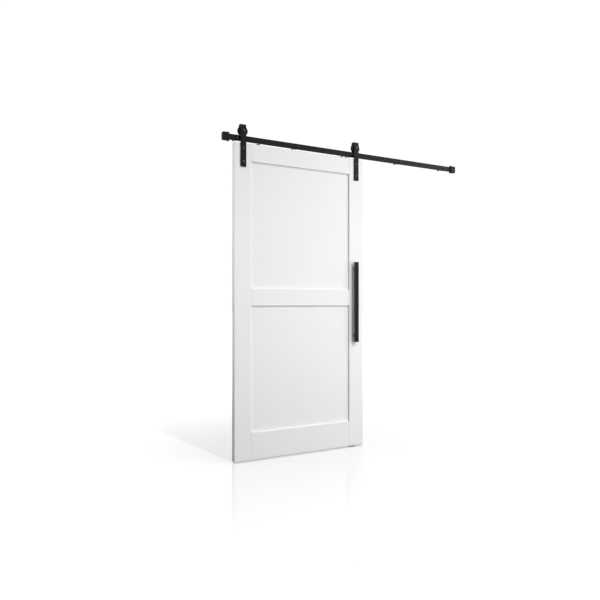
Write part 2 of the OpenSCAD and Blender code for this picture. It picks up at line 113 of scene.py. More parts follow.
class SteelSettings(bpy.types.PropertyGroup):
    """Coated steel of the track, the hangers and the handle"""

    coat: FloatVectorProperty(
        name="Coat", description="Colour of the powder coat", subtype="COLOR", size=3,
        min=0, max=1, default=(0.0066, 0.0064, 0.0060),
    )
    coat_light: FloatVectorProperty(
        name="Coat flecks", description="Colour of the lighter grains in the coat",
        subtype="COLOR", size=3, min=0, max=1, default=(0.0120, 0.0117, 0.0110),
    )
    rough: FloatProperty(
        name="Roughness", description="Roughness of the powder coat", subtype="FACTOR",
        min=0, max=1, default=0.36,
    )
    sheen: FloatProperty(
        name="Sheen", description="Specular level of the coat", subtype="FACTOR",
        min=0, max=1, default=0.32,
    )
    grain: FloatProperty(
        name="Grain relief", description="Height of the grain in the powder coat",
        subtype="DISTANCE", unit="LENGTH", default=0.06 * MM,
    )
    edge: FloatProperty(
        name="Edge rounding", description="Radius on the edges of bars and straps",
        subtype="DISTANCE", unit="LENGTH", default=0.7 * MM,
    )
    bright: FloatVectorProperty(
        name="Bearing steel", description="Colour of the ground steel", subtype="COLOR",
        size=3, min=0, max=1, default=(0.56, 0.56, 0.57),
    )
    rubber: FloatVectorProperty(
        name="Rubber", description="Colour of the bumpers", subtype="COLOR", size=3,
        min=0, max=1, default=(0.012, 0.012, 0.0118),
    )


class FastenerSettings(bpy.types.PropertyGroup):
    """Sizes of the bolts and screws"""

    columns: IntProperty(
        name="Columns", description="Faces around a turned form, a multiple of six",
        min=24, max=96, default=48,
    )
    lag_pitch: FloatProperty(
        name="Lag pitch", description="Distance between the threads of a lag bolt",
        subtype="DISTANCE", unit="LENGTH", default=3.2 * MM,
    )
    bolt_pitch: FloatProperty(
        name="Bolt pitch", description="Distance between the threads of an axle bolt",
        subtype="DISTANCE", unit="LENGTH", default=1.5 * MM,
    )
    edge: FloatProperty(
        name="Edge rounding", description="Radius on the edges of fasteners",
        subtype="DISTANCE", unit="LENGTH", default=0.35 * MM,
    )


class StudioSettings(bpy.types.PropertyGroup):
    """Floor, lights and camera"""

    camera_at: FloatVectorProperty(
        name="Camera position", description="Where the camera stands", subtype="XYZ",
        unit="LENGTH", size=3, default=(-2.336, -3.817, -1.108),
    )
    heading: FloatProperty(
        name="Camera heading", description="Angle from the wall's normal towards +X",
        subtype="ANGLE", unit="ROTATION", default=math.radians(30.61),
    )
    lens: FloatProperty(
        name="Lens", description="Focal length in millimetres on a 36 mm frame",
        min=10, max=200, default=35.73,
    )
    shift_x: FloatProperty(name="Shift X", description="Sideways lens shift", default=-0.0662)
    shift_y: FloatProperty(name="Shift Y", description="Upward lens shift", default=0.0058)
    # Painted light: the floor glows for the eye, weakly near the door, which paints shade there, and fully far
    # from it.
    floor_near: FloatProperty(
        name="Floor glow, near", description="Light of the backlit floor under the door",
        min=0, max=2, default=0.235,
    )
    floor_far: FloatProperty(
        name="Floor glow, far", description="Light of the backlit floor away from the door",
        min=0, max=2, default=1.0,
    )
    # Painted light: extra glow on the strip of floor under the leaf lightens the shade in the gap below it.
    floor_painted_gap_light: FloatProperty(
        name="Floor lift", description="Glow under the leaf, from the near to the far one",
        subtype="FACTOR", min=0, max=1, default=0.22,
    )
    floor_reach: FloatProperty(
        name="Floor fade", description="Distance over which the floor's glow rises",
        subtype="DISTANCE", unit="LENGTH", default=4.9,
    )
    floor_tone: FloatProperty(
        name="Floor tone", description="How strongly the floor takes light and shadow",
        subtype="FACTOR", min=0, max=1, default=0.62,
    )
    floor_bounce: FloatProperty(
        name="Floor bounce", description="How much light the floor sends back to the door",
        subtype="FACTOR", min=0, max=1, default=0.20,
    )
    floor_size: FloatProperty(
        name="Floor size", description="Width of the floor", subtype="DISTANCE",
        unit="LENGTH", default=120.0,
    )
    key_strength: FloatProperty(
        name="Key light", description="Strength of the high front light", min=0, max=20,
        default=1.1,
    )
    key_angle: FloatProperty(
        name="Key size", description="Apparent width of the high front light",
        subtype="ANGLE", unit="ROTATION", default=math.radians(3),
    )
    key_height: FloatProperty(
        name="Key elevation", description="Height of the key light above the horizon",
        subtype="ANGLE", unit="ROTATION", default=math.radians(43),
    )
    key_heading: FloatProperty(
        name="Key heading", description="Angle of the key light from the wall's normal",
        subtype="ANGLE", unit="ROTATION", default=math.radians(8),
    )
    front_power: FloatProperty(
        name="Front softbox", description="Power of the large softbox at the right front",
        subtype="POWER", default=68.7,
    )
    upper_power: FloatProperty(
        name="Upper softbox", description="Power of the narrow softbox on the upper left",
        subtype="POWER", default=0.85,
    )
    edge_power: FloatProperty(
        name="Side softbox", description="Power of the softbox that lights the door's side",
        subtype="POWER", default=12.5,
    )
    back_power: FloatProperty(
        name="Back softbox", description="Power of the softbox behind the door's side",
        subtype="POWER", default=15.3,
    )
    behind_power: FloatProperty(
        name="Rear softbox", description="Power of the softbox that lights the back of the door",
        subtype="POWER", default=5.0,
    )
    room: FloatProperty(
        name="Room light", description="Strength of the light from the right of the room",
        min=0, max=10, default=0.79,
    )
    ceiling: FloatProperty(
        name="Ceiling light", description="Strength of the light from above",
        min=0, max=10, default=0.19,
    )
    sheen: FloatProperty(
        name="Room sheen", description="Brightness of the right wall in reflections",
        min=0, max=10, default=2.2,
    )


# ---- Shader groups --------------------------------------------------------------------------


def new_group(name, inputs, outputs):
    """An empty shader group. Inputs are (name, socket type, default); outputs (name, type)."""
    group = bpy.data.node_groups.new(name, "ShaderNodeTree")
    for label, kind, default in inputs:
        socket = group.interface.new_socket(label, in_out="INPUT", socket_type=kind)
        if default is not None:
            socket.default_value = default
    for label, kind in outputs:
        group.interface.new_socket(label, in_out="OUTPUT", socket_type=kind)
    entry = group.nodes.new("NodeGroupInput")
    leave = group.nodes.new("NodeGroupOutput")
    return group, entry, leave


def add_math(tree, operation, first, second):
    """A Math node whose two inputs are sockets or numbers; returns its output."""
    node = tree.nodes.new("ShaderNodeMath")
    node.operation = operation
    for socket, value in zip(node.inputs, (first, second)):
        if isinstance(value, bpy.types.NodeSocket):
            tree.links.new(value, socket)
        else:
            socket.default_value = value
    return node.outputs[0]


def make_stroke_group():
    """Film marks: long streaks along one axis, with a fine orange peel over them."""
    group, entry, leave = new_group(
        "film_marks",
        [
            ("Position", "NodeSocketVector", None),
            ("Streaks", "NodeSocketVector", (700.0, 700.0, 30.0)),
            ("Peel", "NodeSocketFloat", 900.0),
            ("Cloud", "NodeSocketFloat", 3.0),
        ],
        [("Height", "NodeSocketFloat"), ("Tone", "NodeSocketFloat")],
    )
    links = group.links
    stretch = group.nodes.new("ShaderNodeVectorMath")
    stretch.operation = "MULTIPLY"
    links.new(entry.outputs["Position"], stretch.inputs[0])
    links.new(entry.outputs["Streaks"], stretch.inputs[1])
    streaks = group.nodes.new("ShaderNodeTexNoise")
    streaks.inputs["Scale"].default_value = 1.0
    streaks.inputs["Detail"].default_value = 3.0
    links.new(stretch.outputs[0], streaks.inputs["Vector"])
    peel = group.nodes.new("ShaderNodeTexNoise")
    peel.inputs["Detail"].default_value = 2.0
    links.new(entry.outputs["Position"], peel.inputs["Vector"])
    links.new(entry.outputs["Peel"], peel.inputs["Scale"])
    cloud = group.nodes.new("ShaderNodeTexNoise")
    cloud.inputs["Detail"].default_value = 2.0
    links.new(entry.outputs["Position"], cloud.inputs["Vector"])
    links.new(entry.outputs["Cloud"], cloud.inputs["Scale"])
    height = add_math(
        group,
        "ADD",
        add_math(group, "MULTIPLY", streaks.outputs["Fac"], 0.65),
        add_math(group, "MULTIPLY", peel.outputs["Fac"], 0.35),
    )
    tone = add_math(
        group,
        "ADD",
        add_math(group, "MULTIPLY", streaks.outputs["Fac"], 0.35),
        add_math(group, "MULTIPLY", cloud.outputs["Fac"], 0.65),
    )
    links.new(height, leave.inputs["Height"])
    links.new(tone, leave.inputs["Tone"])
    return group


def make_grain_group():
    """Pebbled grain of a coat or a moulding, with scattered lighter flecks."""
    group, entry, leave = new_group(
        "coat_grain",
        [
            ("Position", "NodeSocketVector", None),
            ("Grain", "NodeSocketFloat", 1400.0),
            ("Fleck", "NodeSocketFloat", 500.0),
        ],
        [("Height", "NodeSocketFloat"), ("Fleck", "NodeSocketFloat")],
    )
    links = group.links
    pebbles = group.nodes.new("ShaderNodeTexVoronoi")
    pebbles.feature = "SMOOTH_F1"
    links.new(entry.outputs["Position"], pebbles.inputs["Vector"])
    links.new(entry.outputs["Grain"], pebbles.inputs["Scale"])
    dust = group.nodes.new("ShaderNodeTexNoise")
    dust.inputs["Detail"].default_value = 4.0
    dust.inputs["Roughness"].default_value = 0.7
    links.new(entry.outputs["Position"], dust.inputs["Vector"])
    links.new(entry.outputs["Fleck"], dust.inputs["Scale"])
    spread = group.nodes.new("ShaderNodeMapRange")
    spread.inputs["From Min"].default_value = 0.42
    spread.inputs["From Max"].default_value = 0.66
    links.new(dust.outputs["Fac"], spread.inputs["Value"])
    height = add_math(group, "SUBTRACT", 1.0, pebbles.outputs["Distance"])
    links.new(height, leave.inputs["Height"])
    links.new(spread.outputs["Result"], leave.inputs["Fleck"])
    return group


def make_turning_group():
    """Fine rings left by turning, around the local Y axis."""
    group, entry, leave = new_group(
        "turning_marks",
        [
            ("Position", "NodeSocketVector", None),
            ("Rings per metre", "NodeSocketFloat", 2600.0),
            ("Waver", "NodeSocketFloat", 120.0),
        ],
        [("Height", "NodeSocketFloat"), ("Tone", "NodeSocketFloat")],
    )
    links = group.links
    parts = group.nodes.new("ShaderNodeSeparateXYZ")
    links.new(entry.outputs["Position"], parts.inputs[0])
    across = add_math(group, "MULTIPLY", parts.outputs["X"], parts.outputs["X"])
    up = add_math(group, "MULTIPLY", parts.outputs["Z"], parts.outputs["Z"])
    radius = add_math(group, "SQRT", add_math(group, "ADD", across, up), 0.0)
    reach = add_math(group, "ADD", radius, parts.outputs["Y"])
    turns = add_math(group, "MULTIPLY", reach, entry.outputs["Rings per metre"])
    noise = group.nodes.new("ShaderNodeTexNoise")
    noise.noise_dimensions = "1D"
    noise.inputs["Scale"].default_value = 1.0
    noise.inputs["Detail"].default_value = 3.0
    links.new(turns, noise.inputs["W"])
    waver = group.nodes.new("ShaderNodeTexNoise")
    links.new(entry.outputs["Position"], waver.inputs["Vector"])
    links.new(entry.outputs["Waver"], waver.inputs["Scale"])
    links.new(noise.outputs["Fac"], leave.inputs["Height"])
    links.new(waver.outputs["Fac"], leave.inputs["Tone"])
    return group


def shader_group(name):
    """The named shader group, built the first time that a material asks for it."""
    makers = {
        "film_marks": make_stroke_group,
        "coat_grain": make_grain_group,
        "turning_marks": make_turning_group,
    }
    return bpy.data.node_groups.get(name) or makers[name]()


# ---- Materials ------------------------------------------------------------------------------


def new_surface(name, group_name, values):
    """A material with one Principled shader and one shader group fed by object coordinates."""
    material = bpy.data.materials.new(name)
    material.use_nodes = True
    tree = material.node_tree
    tree.nodes.clear()
    output = tree.nodes.new("ShaderNodeOutputMaterial")
    shader = tree.nodes.new("ShaderNodeBsdfPrincipled")
    tree.links.new(shader.outputs["BSDF"], output.inputs["Surface"])
    place = tree.nodes.new("ShaderNodeTexCoord")
    effect = tree.nodes.new("ShaderNodeGroup")
    effect.node_tree = shader_group(group_name)
    tree.links.new(place.outputs["Object"], effect.inputs["Position"])
    for label, value in values.items():
        effect.inputs[label].default_value = value
    return material, tree, shader, effect


def mix_colours(tree, factor, first, second, shader):
    """Feeds the shader's base colour with a mix of two colours."""
    mix = tree.nodes.new("ShaderNodeMix")
    mix.data_type = "RGBA"
    tree.links.new(factor, mix.inputs["Factor"])
    mix.inputs[6].default_value = (*first, 1.0)
    mix.inputs[7].default_value = (*second, 1.0)
    tree.links.new(mix.outputs[2], shader.inputs["Base Color"])


def vary_roughness(tree, factor, low, high, shader):
    """Feeds the shader's roughness with a value between low and high."""
    spread = tree.nodes.new("ShaderNodeMapRange")
    spread.inputs["To Min"].default_value = low
    spread.inputs["To Max"].default_value = high
    tree.links.new(factor, spread.inputs["Value"])
    tree.links.new(spread.outputs["Result"], shader.inputs["Roughness"])


def add_relief(tree, height, distance, shader):
    """Feeds the shader's normal with a bump of the given depth in metres."""
    bump = tree.nodes.new("ShaderNodeBump")
    bump.inputs["Strength"].default_value = 1.0
    bump.inputs["Distance"].default_value = distance
    tree.links.new(height, bump.inputs["Height"])
    tree.links.new(bump.outputs["Normal"], shader.inputs["Normal"])


def paint_material(name, streaks):
    """Satin white paint whose marks run the way that streaks says."""
    settings = bpy.context.scene.barn_door_leaf
    material, tree, shader, film = new_surface(name, "film_marks", {"Streaks": streaks})
    mix_colours(tree, film.outputs["Tone"], settings.paint, settings.paint_shade, shader)
    vary_roughness(tree, film.outputs["Tone"], settings.rough - 0.05, settings.rough + 0.05, shader)
    add_relief(tree, film.outputs["Height"], settings.stroke, shader)
    return material


def upright_paint():
    """Paint with marks along the height of a stile or a panel."""
    return bpy.data.materials.get("paint_upright") or paint_material(
        "paint_upright", (650.0, 650.0, 22.0)
    )


def level_paint():
    """Paint with marks along the length of a rail."""
    return bpy.data.materials.get("paint_level") or paint_material(
        "paint_level", (22.0, 650.0, 650.0)
    )


def beech_material():
    """Bare beech of the dowels."""
    found = bpy.data.materials.get("beech")
    if found:
        return found
    settings = bpy.context.scene.barn_door_leaf
    material, tree, shader, film = new_surface(
        "beech", "film_marks", {"Streaks": (60.0, 2400.0, 2400.0), "Cloud": 40.0}
    )
    dark = tuple(channel * 0.72 for channel in settings.beech)
    mix_colours(tree, film.outputs["Tone"], settings.beech, dark, shader)
    vary_roughness(tree, film.outputs["Tone"], 0.6, 0.8, shader)
    add_relief(tree, film.outputs["Height"], 0.08 * MM, shader)
    return material


def grained_material(name, first, second, rough, relief, grain, fleck, sheen=0.5):
    """A dark coat or moulding with pebbled grain and flecks."""
    found = bpy.data.materials.get(name)
    if found:
        return found
    material, tree, shader, effect = new_surface(
        name, "coat_grain", {"Grain": grain, "Fleck": fleck}
    )
    mix_colours(tree, effect.outputs["Fleck"], first, second, shader)
    vary_roughness(tree, effect.outputs["Fleck"], rough + 0.05, rough - 0.05, shader)
    add_relief(tree, effect.outputs["Height"], relief, shader)
    shader.inputs["Specular IOR Level"].default_value = sheen
    return material


def coat_material():
    """Matt black powder coat of the bars, straps and blocks."""
    steel = bpy.context.scene.barn_door_steel
    return grained_material(
        "powder_coat", steel.coat, steel.coat_light, steel.rough, steel.grain, 1500.0, 420.0,
        steel.sheen,
    )


def fastener_material():
    """Satin black finish of bolts, nuts and screws, smoother and paler than the coat."""
    steel = bpy.context.scene.barn_door_steel
    smoother = steel.rough - 0.08
    paler = tuple(channel * 1.8 for channel in steel.coat_light)
    return grained_material(
        "fastener_black", steel.coat_light, paler, smoother, 0.02 * MM, 2600.0, 900.0, 0.9
    )


def rubber_material():
    """Matt rubber of the bumpers."""
    steel = bpy.context.scene.barn_door_steel
    lighter = tuple(channel * 1.5 for channel in steel.rubber)
    return grained_material(
        "bumper_rubber", steel.rubber, lighter, 0.78, 0.04 * MM, 1900.0, 260.0
    )


def turned_material(name, first, second, rough, metallic, relief, rings):
    """A turned surface with fine rings around its axis."""
    found = bpy.data.materials.get(name)
    if found:
        return found
    material, tree, shader, effect = new_surface(
        name, "turning_marks", {"Rings per metre": rings}
    )
    mix_colours(tree, effect.outputs["Tone"], first, second, shader)
    vary_roughness(tree, effect.outputs["Height"], rough - 0.08, rough + 0.08, shader)
    add_relief(tree, effect.outputs["Height"], relief, shader)
    shader.inputs["Metallic"].default_value = metallic
    return material


def roller_material():
    """Blacked steel of the wheels, turned and satin."""
    steel = bpy.context.scene.barn_door_steel
    return turned_material(
        "roller_black", steel.coat, steel.coat_light, 0.38, 0.0, 0.02 * MM, 2600.0
    )


def bearing_material():
    """Bright ground steel of rings, balls and bushes."""
    steel = bpy.context.scene.barn_door_steel
    darker = tuple(channel * 0.82 for channel in steel.bright)
    return turned_material("bearing_steel", steel.bright, darker, 0.28, 1.0, 0.008 * MM, 5200.0)


# ---- Mesh helpers ---------------------------------------------------------------------------


def new_piece(name, mesh, centre, material):
    """Links an object that holds mesh, whose own origin is centre, with the material on it."""
    mesh.materials.clear()
    mesh.materials.append(material)
    piece = bpy.data.objects.new(name, mesh)
    piece.location = centre
    bpy.context.scene.collection.objects.link(piece)
    return piece


def stand_for(piece, node):
    """The piece moves, and is filed, as the CAD node that it stands for."""
    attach(piece, BODY_OF[node])
    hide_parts(node)
    return piece


def box_centre(node):
    low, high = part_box(node)
    return (low + high) / 2


def smooth_mesh(bm, name):
    """Turns bm into a mesh with smooth faces and sharp creases."""
    bmesh.ops.recalc_face_normals(bm, faces=bm.faces)
    for face in bm.faces:
        face.smooth = True
    mesh = bpy.data.meshes.new(name)
    bm.to_mesh(mesh)
    bm.free()
    mesh.set_sharp_from_angle(angle=EDGE_ANGLE)
    return mesh


def eased_mesh(node, name, radius, segments=2):
    """The CAD node's form with its sharp edges rounded, about the middle of its box."""
    centre = box_centre(node)
    bm = bmesh.new()
    bm.from_mesh(frame["nodes"][node].data)
    bmesh.ops.remove_doubles(bm, verts=bm.verts, dist=WELD_DISTANCE)
    bmesh.ops.dissolve_limit(bm, angle_limit=FLAT_ANGLE, verts=bm.verts, edges=bm.edges)
    bmesh.ops.translate(bm, verts=bm.verts, vec=-centre)
    edges = [
        edge for edge in bm.edges
        if len(edge.link_faces) == 2 and edge.calc_face_angle() > EDGE_ANGLE
    ]
    bmesh.ops.bevel(
        bm, geom=edges, offset=radius, offset_type="OFFSET", segments=segments,
        profile=0.5, affect="EDGES", clamp_overlap=True, harden_normals=False,
    )
    bmesh.ops.triangulate(bm, faces=[face for face in bm.faces if len(face.verts) > 4])
    return smooth_mesh(bm, name), centre


def ease(node, material, radius, segments=2):
    """Puts the rounded form of a CAD node in its place."""
    name = f"{node}_finished"
    mesh, centre = eased_mesh(node, name, radius, segments)
    piece = new_piece(name, mesh, centre, material)
    weighted = piece.modifiers.new("even_normals", "WEIGHTED_NORMAL")
    weighted.keep_sharp = True
    return stand_for(piece, node)


def hexagon(flat_radius):
    """Distance from the middle of a hexagon to its side, as a function of the angle."""
    def reach(angle):
        off_middle = (angle % HEX_TURN) - HEX_TURN / 2
        return flat_radius / math.cos(off_middle)
    return reach


def value_at(value, angle):
    return value(angle) if callable(value) else value


def add_turned(bm, centre, rows, columns, ring=False):
    """Adds a form turned about a line along Y. rows are (radius, y) pairs, each a number or a
    function of the angle. A ring joins its last row to its first; anything else is closed by
    its end rows, whose radius is 0."""
    lines = []
    for radius, y in rows:
        if radius == 0:
            lines.append([bm.verts.new(centre + Vector((0, value_at(y, 0), 0)))])
            continue
        line = []
        for column in range(columns):
            angle = FULL_TURN * column / columns
            reach = value_at(radius, angle)
            offset = (reach * math.sin(angle), value_at(y, angle), reach * math.cos(angle))
            line.append(bm.verts.new(centre + Vector(offset)))
        lines.append(line)
    if ring:
        lines.append(lines[0])
    for first, second in zip(lines, lines[1:]):
        for column in range(columns):
            after = (column + 1) % columns
            if len(first) == 1:
                bm.faces.new((first[0], second[column], second[after]))
            elif len(second) == 1:
                bm.faces.new((first[column], second[0], first[after]))
            else:
                bm.faces.new((first[column], second[column], second[after], first[after]))


def add_piece(name, node, centre, material, builders):
    """Builds one mesh from several builder calls, each given a bmesh, and stands it for a node."""
    bm = bmesh.new()
    for build in builders:
        build(bm)
    return stand_for(new_piece(name, smooth_mesh(bm, name), centre, material), node)


def hex_head_rows(flat, front, back, rise):
    """Rows of a hexagonal head from its front, whose corners are turned off, to its back."""
    side = hexagon(flat)
    face = flat * 0.94
    slope = math.tan(math.radians(30)) * rise
    return [
        (0, front + 0.12 * MM * rise),
        (face * 0.55, front + 0.12 * MM * rise),
        (face * 0.62, front),
        (face, front),
        (side, lambda angle: front + (side(angle) - face) * slope),
        (side, back),
    ]


def thread_rows(root, crest, pitch, start, end, rows_per_turn=8, taper_to=None):
    """Rows of a screw thread. Past taper_to, from end on, the thread runs out to a point."""
    stop = taper_to or end
    count = max(2, round((stop - start) / pitch * rows_per_turn))
    rows = []
    for step in range(count + 1):
        y = start + (stop - start) * step / count
        shrink = 1.0 if y <= end else max(0.12, (stop - y) / (stop - end))

        def reach(angle, y=y, shrink=shrink):
            phase = (y / pitch - angle / FULL_TURN) % 1.0
            flank = max(0.0, 1.0 - abs(phase - 0.5) * 2.6)
            runout = min(1.0, (y - start) / pitch)
            height = (crest - root) * min(1.0, flank * 1.25) * runout
            return (root + height) * shrink
        rows.append((reach, y))
    return rows


# ---- Door leaf ------------------------------------------------------------------------------


class BARNDOOR_OT_leaf(bpy.types.Operator):
    """Paints the stiles, rails and panels and rounds their edges"""

    bl_idname = "barn_door.leaf"
    bl_label = "Door leaf"

    def execute(self, context):
        edge = context.scene.barn_door_leaf.edge
        for node in ("stile_left", "stile_right", "upper_panel", "lower_panel"):
            ease(node, upright_paint(), edge)
        for node in ("top_rail", "middle_rail", "bottom_rail"):
            ease(node, level_paint(), edge)
        return {"FINISHED"}


class BARNDOOR_OT_dowels(bpy.types.Operator):
    """Gives the dowels their bare beech and rounded ends"""

    bl_idname = "barn_door.dowels"
    bl_label = "Dowels"

    def execute(self, context):
        ease("rail_dowels", beech_material(), 0.8 * MM)
        return {"FINISHED"}


# ---- Track ----------------------------------------------------------------------------------


class BARNDOOR_OT_track(bpy.types.Operator):
    """Coats the flat bar, its spacers and the floor guide"""

    bl_idname = "barn_door.track"
    bl_label = "Track bar"

    def execute(self, context):
        edge = context.scene.barn_door_steel.edge
        ease("track_rail", coat_material(), edge)
        ease("floor_guide", coat_material(), edge)
        for number in range(1, len(wall_bolts()) + 1):
            ease(f"wall_spacer_{number}", coat_material(), 0.4 * MM)
        return {"FINISHED"}


def wall_bolts():
    """Where each wall bolt meets the wall, from left to right."""
    names = sorted(name for name in MOUNTS if name.startswith("wall_bolt_"))
    return [Vector(MOUNTS[name]["pos_m"]) for name in names]


class BARNDOOR_OT_lag_bolts(bpy.types.Operator):
    """Makes the wall bolts with hexagonal heads and coarse wood threads, and their washers"""

    bl_idname = "barn_door.lag_bolts"
    bl_label = "Wall bolts"

    def execute(self, context):
        settings = context.scene.barn_door_fasteners
        low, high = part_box("lag_bolts")
        washer_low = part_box("lag_washers")[0]
        flat = high.z
        shank = 4.25 * MM
        crest = MOUNTS["wall_bolt_1"]["dims"]["r_mm"] * MM
        thread_end = MOUNTS["wall_bolt_1"]["dims"]["length_mm"] * MM
        root = crest * 0.74

        def bolt(bm, place):
            rows = hex_head_rows(flat, low.y, washer_low.y, 1)
            rows += [(shank, washer_low.y), (shank, -0.4 * MM), (root, 0.4 * MM)]
            rows += thread_rows(
                root, crest, settings.lag_pitch, 0.6 * MM, thread_end,
                taper_to=high.y,
            )
            rows.append((0, high.y))
            add_turned(bm, place, rows, settings.columns)

        add_piece(
            "lag_bolts_threaded", "lag_bolts", Vector(), fastener_material(),
            [lambda bm, place=place: bolt(bm, place) for place in wall_bolts()],
        )
        ease("lag_washers", fastener_material(), settings.edge)
        return {"FINISHED"}


class BARNDOOR_OT_stops(bpy.types.Operator):
    """Finishes the end stops, their rubber bumpers and their set screws"""

    bl_idname = "barn_door.stops"
    bl_label = "End stops"

    def execute(self, context):
        edge = context.scene.barn_door_steel.edge
        for side in SIDES:
            ease(f"end_stop_{side}", coat_material(), edge, segments=3)
            ease(f"stop_bumper_{side}", rubber_material(), 1.2 * MM, segments=4)
        ease("stop_set_screws", fastener_material(), context.scene.barn_door_fasteners.edge)
        return {"FINISHED"}


# ---- Hangers --------------------------------------------------------------------------------


class BARNDOOR_OT_straps(bpy.types.Operator):
    """Coats the bent straps and rounds their edges"""

    bl_idname = "barn_door.straps"
    bl_label = "Hanger straps"

    def execute(self, context):
        for side in SIDES:
            ease(f"hanger_strap_{side}", coat_material(), context.scene.barn_door_steel.edge, 3)
        return {"FINISHED"}


def axle_place(side):
    """Where a wheel's axle crosses the middle of its wheel."""
    return Vector(JOINTS[f"wheel_{side}_spin"]["pos_m"])


class BARNDOOR_OT_wheels(bpy.types.Operator):
    """Finishes the grooved wheels and their ball bearings"""

    bl_idname = "barn_door.wheels"
    bl_label = "Wheels"

    def execute(self, context):
        for side in SIDES:
            ease(f"roller_{side}", roller_material(), 0.5 * MM)
            ease(f"bearing_outer_{side}", bearing_material(), 0.25 * MM)
            ease(f"bearing_inner_{side}", bearing_material(), 0.25 * MM)
            polish_balls(f"bearing_balls_{side}")
        ease("axle_bushes", bearing_material(), 0.25 * MM)
        return {"FINISHED"}


def polish_balls(node):
    """The balls keep their form and take the bearing steel."""
    ball_mesh = frame["nodes"][node]
    for entry in ball_mesh.material_slots:
        entry.material = bearing_material()


class BARNDOOR_OT_axles(bpy.types.Operator):
    """Makes the axle bolts with socket heads and threaded ends, and their nuts"""

    bl_idname = "barn_door.axles"
    bl_label = "Axle bolts"

    def execute(self, context):
        settings = context.scene.barn_door_fasteners
        columns = settings.columns
        for side in SIDES:
            low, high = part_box(f"axle_bolt_{side}")
            strap_low, strap_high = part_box(f"hanger_strap_{side}")
            nut_low, nut_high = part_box(f"axle_nut_{side}")
            centre = axle_place(side)
            front, seat = low.y - centre.y, strap_low.y - centre.y
            nut_start, nut_end = nut_low.y - centre.y, nut_high.y - centre.y
            tip = high.y - centre.y
            head = (high.z - low.z) / 2
            shank = 5.0 * MM
            root = shank * 0.84
            start = strap_high.y - centre.y
            rows = socket_head_rows(head, front, seat, 4.0 * MM, 3.4 * MM)
            rows += [(shank, seat), (shank, start - 0.4 * MM), (root, start)]
            rows += thread_rows(
                root, shank, settings.bolt_pitch, start, tip - 0.8 * MM, rows_per_turn=6,
            )
            rows += [(root * 0.8, tip), (0, tip)]
            flat = (nut_high.z - nut_low.z) / 2
            add_piece(
                f"axle_bolt_{side}_threaded", f"axle_bolt_{side}", centre, fastener_material(),
                [lambda bm, rows=rows: add_turned(bm, Vector(), rows, columns)],
            )
            nut = nut_rows(flat, nut_start, nut_end, shank + 0.05 * MM)
            add_piece(
                f"axle_nut_{side}_finished", f"axle_nut_{side}", centre, fastener_material(),
                [lambda bm, nut=nut: add_turned(bm, Vector(), nut, columns, ring=True)],
            )
        return {"FINISHED"}


def dome_rows(head, front, seat, mouth):
    """Rows over a low domed head, from the rim of its socket to the foot of its side."""
    rise = seat - front
    ball = (head * head + rise * rise) / (2 * rise)
    steps = 9
    first = math.asin(mouth / ball)
    last = math.asin(min(1.0, (head - 0.25 * MM) / ball))
    rows = []
    for step in range(steps + 1):
        lean = first + (last - first) * step / steps
        rows.append((ball * math.sin(lean), front + ball * (1 - math.cos(lean))))
    rows.append((head, seat - 0.2 * MM))
    rows.append((head, seat))
    return rows


def socket_head_rows(head, front, seat, socket_flat, depth):
    """Rows of a domed head with a hexagonal socket, from the socket's floor outwards."""
    side = hexagon(socket_flat)
    corner = socket_flat / math.cos(HEX_TURN / 2)
    mouth = corner + 0.35 * MM
    lip = front + 0.25 * MM
    return [
        (0, front + depth + 0.4 * MM),
        (side, front + depth),
        (side, lip + 0.3 * MM),
        *dome_rows(head, front, seat, mouth),
    ]


def nut_rows(flat, start, end, bore):
    """Rows of a hexagonal nut, its outer corners and its bore chamfered at both ends."""
    side = hexagon(flat)
    face = flat * 0.95
    slope = math.tan(math.radians(30))
    return [
        (bore + 0.5 * MM, start),
        (face, start),
        (side, lambda angle: start + (side(angle) - face) * slope),
        (side, lambda angle: end - (side(angle) - face) * slope),
        (face, end),
        (bore + 0.5 * MM, end),
        (bore, end - 0.5 * MM),
        (bore, start + 0.5 * MM),
    ]


def strap_bolt_places():
    """Where the bolts of both straps cross the front of the straps."""
    nuts_low, nuts_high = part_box("strap_barrel_nuts")
    flange = (nuts_high.x - nuts_low.x - (axle_place("right").x - axle_place("left").x)) / 2
    heights = (nuts_low.z + flange, nuts_high.z - flange)
    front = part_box("hanger_strap_left")[0].y
    return [Vector((axle_place(side).x, front, z)) for side in SIDES for z in heights]


class BARNDOOR_OT_strap_bolts(bpy.types.Operator):
    """Makes the domed bolts that hold the straps, and their barrel nuts"""

    bl_idname = "barn_door.strap_bolts"
    bl_label = "Strap bolts"

    def execute(self, context):
        settings = context.scene.barn_door_fasteners
        low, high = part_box("strap_bolts")
        places = strap_bolt_places()
        head = (high.x - low.x - (axle_place("right").x - axle_place("left").x)) / 2
        front, tip = low.y - places[0].y, high.y - places[0].y
        shank = 5.0 * MM
        rows = socket_head_rows(head, front, 0.0, 2.5 * MM, 2.8 * MM)
        rows += [(shank, 0.0), (shank, tip - 1.0 * MM), (shank - 0.8 * MM, tip), (0, tip)]
        add_piece(
            "strap_bolts_finished", "strap_bolts", Vector(), fastener_material(),
            [
                lambda bm, place=place: add_turned(bm, place, rows, settings.columns)
                for place in places
            ],
        )
        ease("strap_barrel_nuts", fastener_material(), settings.edge)
        return {"FINISHED"}


class BARNDOOR_OT_anti_jump(bpy.types.Operator):
    """Finishes the anti-jump discs on top of the door, and their screws"""

    bl_idname = "barn_door.anti_jump"
    bl_label = "Anti-jump discs"

    def execute(self, context):
        for side in SIDES:
            ease(f"anti_jump_disc_{side}", coat_material(), 0.5 * MM)
        ease("anti_jump_screws", fastener_material(), context.scene.barn_door_fasteners.edge)
        return {"FINISHED"}


# ---- Handle ---------------------------------------------------------------------------------


